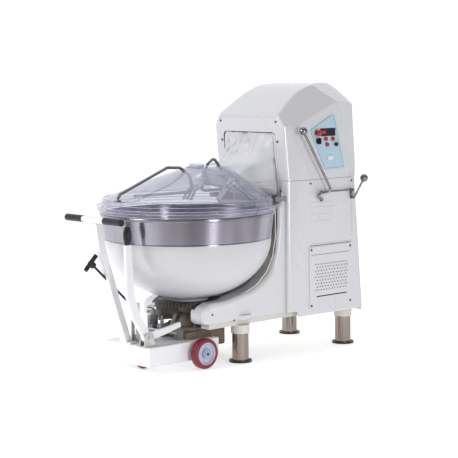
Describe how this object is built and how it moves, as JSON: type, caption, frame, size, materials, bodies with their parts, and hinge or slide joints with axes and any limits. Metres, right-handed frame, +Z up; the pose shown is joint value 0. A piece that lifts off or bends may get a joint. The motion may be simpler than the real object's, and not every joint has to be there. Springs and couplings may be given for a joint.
{
  "type": "twin-arm dough mixer",
  "caption": "Floor-standing twin-arm dough mixer with a drive column, clear lid, and a removable round bowl on a wheeled trolley.",
  "frame": {"origin": "middle of the footprint, on the floor", "axes": "+Z up, -Y towards the operator at the trolley's handle, +X towards the control panel"},
  "size_m": [1.076, 1.9132, 1.65],
  "materials": {
    "white_shell": "smooth glossy moulded covers",
    "white_enamel": "off-white enamel",
    "painted_frame": "light grey enamel",
    "beige_liner": "beige primer, scuffed",
    "stainless": "brushed stainless steel",
    "chrome_trim": "polished chrome",
    "machined_steel": "turned steel, lightly oiled",
    "dark_steel": "dark greased steel",
    "grey_cast": "grey painted casting",
    "brown_cast": "brown primed casting",
    "dark_cast": "dark grey satin",
    "motor_enamel": "blue-grey enamel",
    "zinc_hardware": "zinc plated",
    "black_plastic": "satin black",
    "white_plastic": "cool white nylon",
    "red_tyre": "dark red polyurethane",
    "black_rubber": "matte black",
    "blue_panel": "pale blue membrane",
    "display_glass": "dark display lens",
    "red_button": "red",
    "white_fabric": "coated white cloth",
    "clear_plastic": "clear with a faint violet cast"
  },
  "bodies": {
    "machine": {"hood": "white_shell", "front_panel": "white_shell", "side_cover_right": "white_shell", "side_cover_left": "white_shell", "cradle_liner": "beige_liner", "rear_cover": "white_shell", "vent_panel": "white_shell", "casing_screws": "zinc_hardware", "control_panel": "blue_panel", "display_window": "display_glass", "control_bezels": "zinc_hardware", "chassis_frame": "painted_frame", "column_frame": "painted_frame", "leg_tubes": "stainless", "foot_flanges": "dark_cast", "gearbox_housing": "grey_cast", "motor": "motor_enamel", "drive_belts": "black_rubber", "gaiter_drape": "white_fabric", "lid_rear": "clear_plastic", "lid_rear_brackets": "stainless", "bowl_drive_housing": "grey_cast"},
    "stop_button": {"stop_button": "red_button"},
    "selector": {"selector_knob": "black_plastic"},
    "start_slow": {"button_start_slow": "red_button"},
    "start_fast": {"button_start_fast": "red_button"},
    "bowl_jog": {"button_bowl_jog": "red_button"},
    "stop_cycle": {"button_stop": "black_plastic"},
    "gearbox_input": {"gearbox_pulley": "machined_steel"},
    "motor_rotor": {"motor_pulley": "machined_steel"},
    "arms": {"rocker_shaft": "machined_steel", "arm_right": "stainless", "arm_left": "stainless", "tool_spade": "stainless", "tool_fork": "stainless", "gaiter_sleeves": "white_fabric"},
    "crank": {"drive_crank": "machined_steel"},
    "links": {"connecting_links": "machined_steel"},
    "pinion": {"bowl_drive_pinion": "machined_steel"},
    "lid": {"lid_front": "clear_plastic", "lid_front_handle": "stainless"},
    "trolley": {"trolley_box": "white_enamel", "bearing_pedestal": "brown_cast", "trolley_post": "white_enamel", "handle_grips": "black_plastic", "trolley_brackets": "zinc_hardware", "wheel_axle": "machined_steel"},
    "bowl": {"bowl_shell": "white_enamel", "bowl_band": "stainless", "bowl_ring_gear": "dark_steel"},
    "wheels": {"wheel_tyres": "red_tyre", "wheel_hubs": "white_plastic"},
    "caster_swivel": {"caster_fork": "zinc_hardware"},
    "caster": {"caster_wheel": "red_tyre"},
    "lock_screw": {"lock_screw": "black_plastic"},
    "latch": {"latch_lever": "white_enamel", "latch_knob": "black_plastic"},
    "long_lever": {"long_lever": "chrome_trim"},
    "short_lever": {"short_lever": "chrome_trim"},
    "lever_link": {"lever_link": "chrome_trim"}
  },
  "joints": [
    {"name": "trolley_slide", "type": "slide", "parent": "machine", "child": "trolley", "axis": [0, -1, 0], "range_m": [0, 1.2]},
    {"name": "bowl_spin", "type": "hinge", "parent": "trolley", "child": "bowl", "pos_m": [0, -0.20643, 0.4], "axis": [0, 0, 1], "continuous": true},
    {"name": "wheels_roll", "type": "hinge", "parent": "trolley", "child": "wheels", "pos_m": [0, -0.30593, 0.09], "axis": [1, 0, 0], "continuous": true},
    {"name": "caster_swivel_turn", "type": "hinge", "parent": "trolley", "child": "caster_swivel", "pos_m": [0, -0.58643, 0.1], "axis": [0, 0, 1], "continuous": true},
    {"name": "caster_roll", "type": "hinge", "parent": "caster_swivel", "child": "caster", "pos_m": [0, -0.55843, 0.04], "axis": [1, 0, 0], "continuous": true},
    {"name": "lock_screw_turn", "type": "hinge", "parent": "trolley", "child": "lock_screw", "pos_m": [-0.02, -0.90843, 0.652], "axis": [0, 0.7218, -0.6921], "range_deg": [-360, 360]},
    {"name": "latch_tilt", "type": "hinge", "parent": "trolley", "child": "latch", "pos_m": [0.15, -0.64643, 0.214], "axis": [1, 0, 0], "range_deg": [0, 20]},
    {"name": "arms_rock", "type": "hinge", "parent": "machine", "child": "arms", "pos_m": [0, 0.43357, 1.09], "axis": [1, 0, 0], "range_deg": [0, 36]},
    {"name": "crank_rock", "type": "hinge", "parent": "machine", "child": "crank", "pos_m": [0, 0.66357, 1.01], "axis": [1, 0, 0], "range_deg": [0, 36]},
    {"name": "links_swing", "type": "hinge", "parent": "arms", "child": "links", "pos_m": [0, 0.51135, 1.16778], "axis": [1, 0, 0], "range_deg": [-36, 0]},
    {"name": "motor_spin", "type": "hinge", "parent": "machine", "child": "motor_rotor", "pos_m": [-0.142, 0.64357, 0.47], "axis": [1, 0, 0], "continuous": true},
    {"name": "gearbox_input_spin", "type": "hinge", "parent": "machine", "child": "gearbox_input", "pos_m": [-0.142, 0.64357, 0.862], "axis": [1, 0, 0], "continuous": true},
    {"name": "pinion_spin", "type": "hinge", "parent": "machine", "child": "pinion", "pos_m": [0, 0.02457, 0.3], "axis": [0, 0, 1], "continuous": true},
    {"name": "lid_open", "type": "hinge", "parent": "machine", "child": "lid", "pos_m": [0, -0.13043, 1.172], "axis": [-1, 0, 0], "range_deg": [0, 62]},
    {"name": "stop_button_press", "type": "slide", "parent": "machine", "child": "stop_button", "axis": [-1, 0, 0], "range_m": [0, 0.006], "stiffness_N_per_m": 900},
    {"name": "start_slow_press", "type": "slide", "parent": "machine", "child": "start_slow", "axis": [-1, 0, 0], "range_m": [0, 0.003], "stiffness_N_per_m": 600},
    {"name": "start_fast_press", "type": "slide", "parent": "machine", "child": "start_fast", "axis": [-1, 0, 0], "range_m": [0, 0.003], "stiffness_N_per_m": 600},
    {"name": "bowl_jog_press", "type": "slide", "parent": "machine", "child": "bowl_jog", "axis": [-1, 0, 0], "range_m": [0, 0.003], "stiffness_N_per_m": 600},
    {"name": "stop_press", "type": "slide", "parent": "machine", "child": "stop_cycle", "axis": [-1, 0, 0], "range_m": [0, 0.003], "stiffness_N_per_m": 600},
    {"name": "selector_turn", "type": "hinge", "parent": "machine", "child": "selector", "pos_m": [0.334, 0.56157, 1.297], "axis": [1, 0, 0], "range_deg": [-45, 45]},
    {"name": "long_lever_swing", "type": "hinge", "parent": "machine", "child": "long_lever", "pos_m": [0, 0.58957, 0.934], "axis": [1, 0, 0], "range_deg": [0, 30]},
    {"name": "short_lever_swing", "type": "hinge", "parent": "machine", "child": "short_lever", "pos_m": [0, 0.85657, 0.934], "axis": [1, 0, 0], "range_deg": [0, 30]},
    {"name": "lever_link_swing", "type": "hinge", "parent": "long_lever", "child": "lever_link", "pos_m": [0, 0.58357, 0.984], "axis": [1, 0, 0], "range_deg": [-30, 0]}
  ],
  "couplings": [
    {"joint": "wheels_roll", "follows": "trolley_slide", "rad_per_m": 11.111},
    {"joint": "crank_rock", "follows": "arms_rock", "ratio": 1},
    {"joint": "links_swing", "follows": "arms_rock", "ratio": -1},
    {"joint": "gearbox_input_spin", "follows": "motor_spin", "ratio": 0.5},
    {"joint": "pinion_spin", "follows": "bowl_spin", "ratio": -4.5},
    {"joint": "short_lever_swing", "follows": "long_lever_swing", "ratio": 1},
    {"joint": "lever_link_swing", "follows": "long_lever_swing", "ratio": -1}
  ]
}
